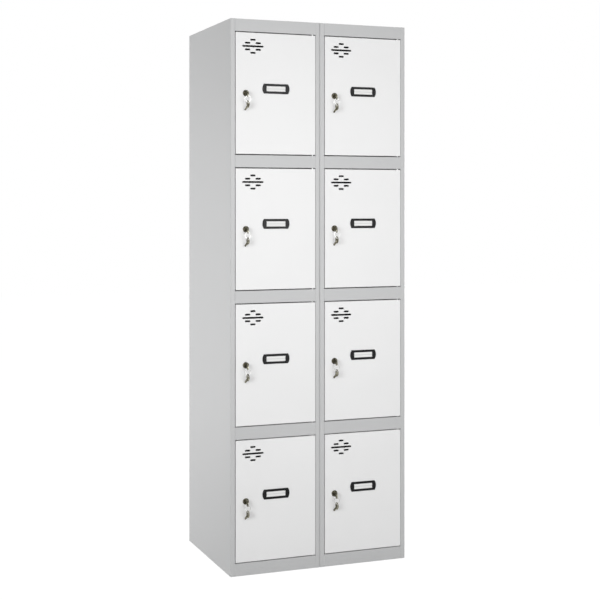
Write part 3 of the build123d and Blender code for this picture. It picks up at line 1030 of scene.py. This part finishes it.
def door_sheet(sizes, lock, hardware, lock_x):
    """A pressed door about the middle of its face: face, flanges, lips, slots and holes."""
    x, z = sizes.width / 2, sizes.height / 2
    bm = block((-x, 0, -z), (x, sizes.depth, z))
    rear = [face for face in bm.faces if face.normal.y > 0.5]
    outer = bm.edges[:]
    bmesh.ops.inset_region(bm, faces=rear, thickness=sizes.lip, use_even_offset=True)
    bmesh.ops.delete(bm, geom=rear, context="FACES")
    bevel_edges(bm, outer, sizes.fold, FOLD_STEPS)
    give_thickness(bm, sizes.sheet, -1)
    slots = bmesh.new()
    for across, up, units in VENT_SLOTS:
        slot_x = sizes.vent_across - x + across * sizes.vent_unit
        slot_z = z - sizes.vent_down + up * sizes.vent_pitch
        slot_length = units * sizes.vent_unit
        add_shape(slots, slot_cutter(slot_length, sizes.vent_slot, slot_x, slot_z, 3 * sizes.sheet))
    combine(bm, slots)
    clearance = sizes.hole_clearance
    hole_width, hole_height = lock.barrel_flats + 2 * clearance, lock.barrel_height + 2 * clearance
    hole = plate(hole_width, hole_height, lock.barrel_height / 4, -sizes.sheet, 2 * sizes.sheet)
    shift(hole, (lock_x, 0, 0))
    combine(bm, hole)
    pin_x, pin_y = x - hardware.pin_inset, hardware.pin_depth
    combine(bm, rod(hardware.pin_radius + clearance / 2, (pin_x, pin_y, -2 * z), (pin_x, pin_y, 2 * z)))
    bevel_edges(bm, sharp_edges(bm, lambda co: co.y < TINY), sizes.edge, 2)
    return bm


class LOCKER_OT_doors(bpy.types.Operator):
    """Press one door and hang it in each of the eight openings"""

    bl_idname = "locker.doors"
    bl_label = "Doors"

    def execute(self, context):
        scene = context.scene
        to_hinges = scene.locker_door.hinge_shift
        lock_x = lock_place("left", 1).x - door_place("left", 1).x - to_hinges
        pressed = door_sheet(scene.locker_door, scene.locker_lock, scene.locker_hardware, lock_x)
        shift(pressed, (to_hinges, 0, 0))
        for column, tier in every_door():
            door = f"{column}_door_{tier}"
            bm = moved(pressed, door_place(column, tier))
            add_piece(f"{column}_door_sheet_{tier}", bm, door, "door_paint", door)
        pressed.free()
        return {"FINISHED"}


# Locks


def lock_housing(sizes, sheet):
    """The fixed part of a lock about its axis: a domed bezel and a flatted barrel."""
    bore = sizes.plug_radius + sizes.plug_gap
    proud = sizes.bezel_height
    barrel = sizes.barrel_height / 2
    profile = [
        (bore, sizes.barrel_length), (barrel, sizes.barrel_length), (barrel, 0),
        (sizes.bezel_radius, 0), (sizes.bezel_radius, -proud), (bore + proud / 4, -proud),
        (bore, -proud * 0.8), (bore, sizes.barrel_length),
    ]
    bm = spun(profile, [0, proud / 5, 0, 0, proud * 0.75, proud / 10, 0, 0])
    flat = sizes.barrel_flats / 2
    for vert in bm.verts:
        if vert.co.y > -TINY and math.hypot(vert.co.x, vert.co.z) < barrel + TINY:
            vert.co.x = max(-flat, min(flat, vert.co.x))
    groove_width = 1.35 * sizes.clip_thickness
    for side in (-1, 1):
        inner, outer = sorted((side * (flat - sizes.clip_groove), side * sizes.clip_width))
        combine(bm, block((inner, sheet, -barrel), (outer, sheet + groove_width, barrel)))
    return bm


def lock_clip(sizes, sheet):
    """The horseshoe clip that slides up into the barrel's grooves."""
    rear = sheet + sizes.clip_thickness
    bm = plate(sizes.clip_width, sizes.clip_height, sizes.clip_width / 8, sheet, rear)
    half = sizes.barrel_flats / 2 - sizes.clip_groove + sizes.plug_gap
    top = sizes.barrel_height / 2
    combine(bm, block((-half, 0, -sizes.clip_height), (half, 2 * rear, top)))
    return bm


def lock_core(sizes):
    """The turning part about its axis: the plug with its keyway and square, the cam and its screw."""
    radius = sizes.plug_radius
    front = sizes.plug_recess - sizes.bezel_height
    profile = [(0, front), (radius, front), (radius, sizes.cam_depth), (0, sizes.cam_depth)]
    plug = spun(profile, [0, radius / 12, 0, 0])
    width, height = sizes.keyway_width, sizes.keyway_height
    combine(plug, plate(width, height, width / 5, 2 * front, front + sizes.keyway_depth))
    bevel_edges(plug, sharp_edges(plug, lambda co: co.y < front + TINY), radius / 30, 1)
    cam_rear = sizes.cam_depth + sizes.cam_thickness
    square = plate(sizes.drive, sizes.drive, 0, sizes.cam_depth, cam_rear)
    cam_width, cam_length = sizes.cam_width, sizes.cam_reach + sizes.cam_width / 2
    cam = plate(cam_width, cam_length, cam_width * 0.45, sizes.cam_depth, cam_rear, segments=8)
    shift(cam, (0, 0, (cam_width / 2 - sizes.cam_reach) / 2))
    bevel_edges(cam, sharp_edges(cam), sizes.cam_thickness / 6, 2)
    hole = sizes.drive + 2 * sizes.plug_gap
    combine(cam, plate(hole, hole, 0, front, 2 * cam_rear))
    screw_end = cam_rear + sizes.screw_head
    screw = rod(sizes.screw_size / math.sqrt(3), (0, cam_rear, 0), (0, screw_end, 0), sides=6)
    bevel_edges(screw, edges_with(screw, lambda co: co.y > cam_rear + TINY), sizes.screw_head / 5, 2)
    return plug, square, cam, screw


class LOCKER_OT_locks(bpy.types.Operator):
    """Fit a cam lock to every door"""

    bl_idname = "locker.locks"
    bl_label = "Locks"

    def execute(self, context):
        sizes = context.scene.locker_lock
        sheet = context.scene.locker_door.sheet
        housing, clip = lock_housing(sizes, sheet), lock_clip(sizes, sheet)
        plug, square, cam, screw = lock_core(sizes)
        steel = bmesh.new()
        for part in (square, cam, screw):
            add_shape(steel, part)
        for column, tier in every_door():
            place = lock_place(column, tier)
            door, lock = f"{column}_door_{tier}", f"{column}_lock_{tier}"
            node = f"{column}_lock_core_{tier}"
            add_piece(f"{column}_lock_housing_{tier}", moved(housing, place), door, "lock_plate", door)
            add_piece(f"{column}_lock_clip_{tier}", moved(clip, place), door, "plated_steel", door)
            add_piece(f"{column}_lock_plug_{tier}", moved(plug, place), lock, "lock_plate", node)
            add_piece(f"{column}_lock_cam_{tier}", moved(steel, place), lock, "plated_steel", node)
        return {"FINISHED"}


# Keys


def key_blank(sizes, blade_start):
    """A key lying flat: X from bow to blade, Y across it, Z through it, about the slot's middle."""
    shank, blade = sizes.shank_width / 2, sizes.blade_width / 2
    tip = blade_start + sizes.blade_length
    point = sizes.blade_point
    step = sizes.blade_length / 7
    ramp_start, floor_half = step * 0.42, step * 0.15
    cuts = []
    for number, depth in enumerate(KEY_CUTS):
        x = tip - point - (number + 0.7) * step
        floor = blade - depth
        cuts += [(x + ramp_start, blade), (x + floor_half, floor), (x - floor_half, floor)]
    front, rear, high, low = sizes.bow_front, sizes.bow_rear, sizes.bow_high, sizes.bow_low
    # The bow's corners, each with its rounding as a share of the bow's rear length
    bow = [
        ((rear, high), 0.15), ((rear * 0.38, high), 0.3), ((-front * 0.4, high * 0.46), 0.32),
        ((-front, -low * 0.3), 0.3), ((-front, -low * 0.78), 0.17), ((-front / 2, -low), 0.17),
        ((rear * 0.38, -low), 0.28), ((rear, -high), 0.12),
    ]
    blade_points = [
        (rear, -shank), (blade_start, -shank), (blade_start, -blade), (tip - point, -blade),
        (tip, point - blade), (tip, blade - point), (tip - point, blade), *cuts,
        (blade_start, blade), (blade_start, shank), (rear, shank),
    ]
    bm = bmesh.new()
    points = [place for place, _ in bow] + blade_points
    corners = outline(bm, [(x, y, -sizes.thickness / 2) for x, y in points])
    for corner, (_, rounding) in zip(corners, bow):
        round_corners(bm, [corner], rounding * rear)
    raise_faces(bm, bm.faces[:], (0, 0, sizes.thickness))
    slot = plate(sizes.slot_width, sizes.slot_length, sizes.slot_round, -sizes.thickness, sizes.thickness)
    turn(slot, math.pi / 2, "X")
    shift(slot, (0, sizes.slot_length / 2 - sizes.slot_end, 0))
    combine(bm, slot)
    floor = sizes.thickness / 2 - sizes.groove_depth
    half = sizes.groove_width / 2
    combine(bm, block((sizes.bow_rear, -half, floor), (tip + point, half, sizes.thickness)))
    rims = sharp_edges(bm, lambda co: abs(co.z) > sizes.thickness / 2 - TINY)
    bevel_edges(bm, rims, sizes.edge / 2, 2)
    return bm


def laid(bm, origin, x_axis, y_axis):
    """A copy of a mesh with its own axes laid along these and its origin here."""
    x_axis, y_axis = Vector(x_axis), Vector(y_axis)
    axes = Matrix((x_axis, y_axis, x_axis.cross(y_axis))).transposed().to_4x4()
    copy = bm.copy()
    bmesh.ops.transform(copy, matrix=Matrix.Translation(origin) @ axes, verts=copy.verts[:])
    return copy


def split_ring(sizes):
    """A split ring about its centre: one turn, a short jog and a second turn beside it."""
    radial, axial = sizes.ring_band * 0.46, sizes.ring_width * 0.24
    rise = sizes.ring_width / 2
    inner, outer = sizes.ring_radius - radial, sizes.ring_radius + radial
    low, high = -rise / 2 - axial, -rise / 2 + axial
    bm = bmesh.new()
    corners = outline(bm, [(inner, low, 0), (outer, low, 0), (outer, high, 0), (inner, high, 0)])
    round_corners(bm, corners, axial * 0.6, 2)
    last = bm.faces[:] + bm.edges[:] + bm.verts[:]
    jog, open_end = math.radians(24), 0.04
    # Angle, steps and climb of the first turn, the jog and the second turn
    turns = ((math.tau - jog, 44, 0), (jog, 5, rise), (math.tau - jog - open_end, 44, 0))
    for angle, steps, climb in turns:
        last = bmesh.ops.spin(
            bm, geom=last, cent=(0, 0, 0), axis=(0, 1, 0), dvec=(0, climb / steps, 0),
            angle=angle, steps=steps, use_merge=False,
        )["geom_last"]
    bmesh.ops.remove_doubles(bm, verts=bm.verts[:], dist=TINY)
    face_outwards(bm)
    return bm


class LOCKER_OT_keys(bpy.types.Operator):
    """Cut a key for every lock and a spare that hangs on its ring"""

    bl_idname = "locker.keys"
    bl_label = "Keys and rings"

    def execute(self, context):
        sizes = context.scene.locker_key
        lock = context.scene.locker_lock
        start = sizes.standoff + lock.plug_recess - lock.bezel_height - sizes.shoulder_gap
        wire = math.hypot(sizes.ring_band, sizes.ring_width) / 2 + sizes.rest_gap
        along = wire - sizes.slot_width / 2
        across = sizes.slot_end - wire
        twist = Matrix.Rotation(sizes.twist, 3, "Z")
        down = twist @ Vector((0, math.sin(sizes.lean), -math.cos(sizes.lean)))
        away = twist @ Vector((0, -math.cos(sizes.lean), -math.sin(sizes.lean)))
        key, ring = key_blank(sizes, start), split_ring(sizes)
        for column, tier in every_door():
            place = lock_place(column, tier) + Vector((0, -sizes.standoff, 0))
            centre = place - Vector((0, 0, across + sizes.ring_radius))
            foot = centre - Vector((0, 0, sizes.ring_radius))
            lock_key = laid(key, place, (0, 1, 0), (0, 0, 1))
            spare = laid(key, foot - down * along + away * across, down, away)
            pieces = {
                "key": ("turned_key", lock_key, "key", "key_plate"),
                "spare_key": ("hanging_key", spare, "spare", "key_plate"),
                "key_ring": ("split_ring", moved(ring, centre), "ring", "plated_steel"),
            }
            for node, (name, bm, body, finish) in pieces.items():
                name, body, node = (f"{column}_{word}_{tier}" for word in (name, body, node))
                add_piece(name, bm, body, finish, node)
        return {"FINISHED"}


# Label holders


def label_holder(sizes):
    """A holder about its middle: bowed ends, a bevelled face, a window and a card pocket."""
    straight = sizes.length / 2 - sizes.bulge
    half = sizes.height / 2
    radius = (half**2 + sizes.bulge**2) / (2 * sizes.bulge)
    swing = 2 * math.asin(half / radius)
    bm = bmesh.new()
    for side in (-1, 1):
        start = bm.verts.new((side * straight, 0, -side * half))
        bmesh.ops.spin(
            bm, geom=[start], cent=(side * (sizes.length / 2 - radius), 0, 0), axis=(0, -1, 0),
            dvec=(0, 0, 0), angle=swing, steps=14, use_merge=False,
        )
    bm.verts.ensure_lookup_table()
    for z in (-half, half):
        ends = sorted((v for v in bm.verts if abs(v.co.z - z) < TINY), key=lambda v: v.co.x)
        bm.edges.new((ends[0], ends[-1]))
    bmesh.ops.contextual_create(bm, geom=bm.edges[:])
    raise_faces(bm, bm.faces[:], (0, -sizes.thickness, 0))
    face = -sizes.thickness
    bevel_edges(bm, sharp_edges(bm, lambda co: co.y < face + TINY), sizes.bevel, 4)
    width, height = sizes.window_length, sizes.window_height
    margin = 2 * sizes.pocket_margin
    combine(bm, plate(width, height, sizes.window_round, 2 * face, sizes.thickness))
    combine(bm, plate(width + margin, height + margin, 0, -sizes.pocket_depth, sizes.thickness))

    def on_rim(co):
        """Whether a point is on the window's edge in the holder's face."""
        return co.y < face + TINY and abs(co.x) < width / 2 + TINY and abs(co.z) < height / 2 + TINY

    bevel_edges(bm, sharp_edges(bm, on_rim), sizes.bevel / 2, 3)
    return bm


class LOCKER_OT_labels(bpy.types.Operator):
    """Mould a label holder for every door and slide a blank card into it"""

    bl_idname = "locker.labels"
    bl_label = "Label holders"

    def execute(self, context):
        sizes = context.scene.locker_label
        holder = label_holder(sizes)
        gap, margin = sizes.card_gap, 2 * (sizes.pocket_margin - sizes.card_gap)
        width, height = sizes.window_length + margin, sizes.window_height + margin
        card = plate(width, height, gap, -gap - sizes.card_thickness, -gap)
        for column, tier in every_door():
            place = door_place(column, tier) + Vector((0, 0, sizes.above))
            body, node = f"{column}_door_{tier}", f"{column}_label_holder_{tier}"
            add_piece(f"{column}_label_frame_{tier}", moved(holder, place), body, "holder_plastic", node)
            add_piece(f"{column}_label_card_{tier}", moved(card, place), body, "label_card", node)
        return {"FINISHED"}


# Stage


def area_lamp(name, place, target, size, power):
    """A square softbox that looks at a target."""
    lamp = bpy.data.lights.new(name, "AREA")
    lamp.shape = "SQUARE"
    lamp.size = size
    lamp.energy = power
    holder = new_object(name, lamp)
    holder.location = place
    holder.rotation_euler = (Vector(target) - Vector(place)).to_track_quat("-Z", "Y").to_euler()


class LOCKER_OT_stage(bpy.types.Operator):
    """Set the floor, the white surroundings, the lamps and the camera"""

    bl_idname = "locker.stage"
    bl_label = "Stage"

    def execute(self, context):
        scene = context.scene
        stage = scene.locker_stage
        self.lay_floor(stage)
        self.light_world(scene, stage)
        for name, (place, target, size) in LAMPS.items():
            area_lamp(f"{name}_lamp", place, target, size, getattr(stage, f"{name}_power"))
        camera = bpy.data.cameras.new("camera")
        camera.lens = stage.lens
        camera.shift_y = stage.rise
        holder = new_object("camera", camera)
        holder.location = stage.eye
        holder.rotation_euler = (math.pi / 2, 0, -stage.turn)
        scene.camera = holder
        scene.view_settings.view_transform = "Standard"
        return {"FINISHED"}

    @staticmethod
    def lay_floor(stage):
        """A pale floor that looks white and still takes the locker's shadow."""
        bm = bmesh.new()
        bmesh.ops.create_grid(bm, x_segments=2, y_segments=2, size=stage.floor_size)
        floor = mesh_object("floor", bm)
        bm.free()
        finish = Finish("floor")
        grey = (stage.floor_grey,) * 3
        screed = finish.blend(finish.noise(40.0, detail=4.0), shade(grey, 0.96), shade(grey, 1.0))
        matt = finish.add("ShaderNodeBsdfDiffuse", {}, {"Color": screed})
        glow = finish.add("ShaderNodeEmission", {}, {"Color": WHITE, "Strength": stage.floor_glow})
        finish.end(finish.seen_white(matt, glow, stage.floor_white))
        floor.data.materials.append(finish.made)

    @staticmethod
    def light_world(scene, stage):
        """Even light all round, seen as plain white."""
        finish = Finish("studio", "worlds")
        ambient = finish.add("ShaderNodeBackground", {}, {"Color": WHITE, "Strength": stage.ambient})
        white = finish.add("ShaderNodeBackground", {}, {"Color": WHITE})
        finish.end(finish.seen_white(ambient, white, 1.0), "World")
        scene.world = finish.made


OPERATORS = (
    LOCKER_OT_body,
    LOCKER_OT_hardware,
    LOCKER_OT_doors,
    LOCKER_OT_locks,
    LOCKER_OT_keys,
    LOCKER_OT_labels,
    LOCKER_OT_stage,
)


class LOCKER_PT_panel(bpy.types.Panel):
    """Lists the steps that dress the locker, with their sizes and colours"""

    bl_idname = "LOCKER_PT_panel"
    bl_label = "Steel locker"
    bl_space_type = "VIEW_3D"
    bl_region_type = "UI"
    bl_category = "Locker"

    def draw(self, context):
        for operator in OPERATORS:
            self.layout.operator(operator.bl_idname, text=operator.bl_label)
        for name, group in PROPERTY_GROUPS.items():
            box = self.layout.box()
            for prop in group.__annotations__:
                box.prop(getattr(context.scene, name), prop)


def register():
    for group in PROPERTY_GROUPS.values():
        bpy.utils.register_class(group)
    for name, group in PROPERTY_GROUPS.items():
        setattr(bpy.types.Scene, name, PointerProperty(type=group))
    for cls in (*OPERATORS, LOCKER_PT_panel):
        bpy.utils.register_class(cls)


def unregister():
    for cls in (LOCKER_PT_panel, *OPERATORS):
        bpy.utils.unregister_class(cls)
    for name, group in PROPERTY_GROUPS.items():
        delattr(bpy.types.Scene, name)
        bpy.utils.unregister_class(group)


def main():
    register()
    for operator in OPERATORS:
        step = operator.bl_idname.split(".")[1]
        getattr(bpy.ops.locker, step)()


if __name__ == "__main__":
    main()
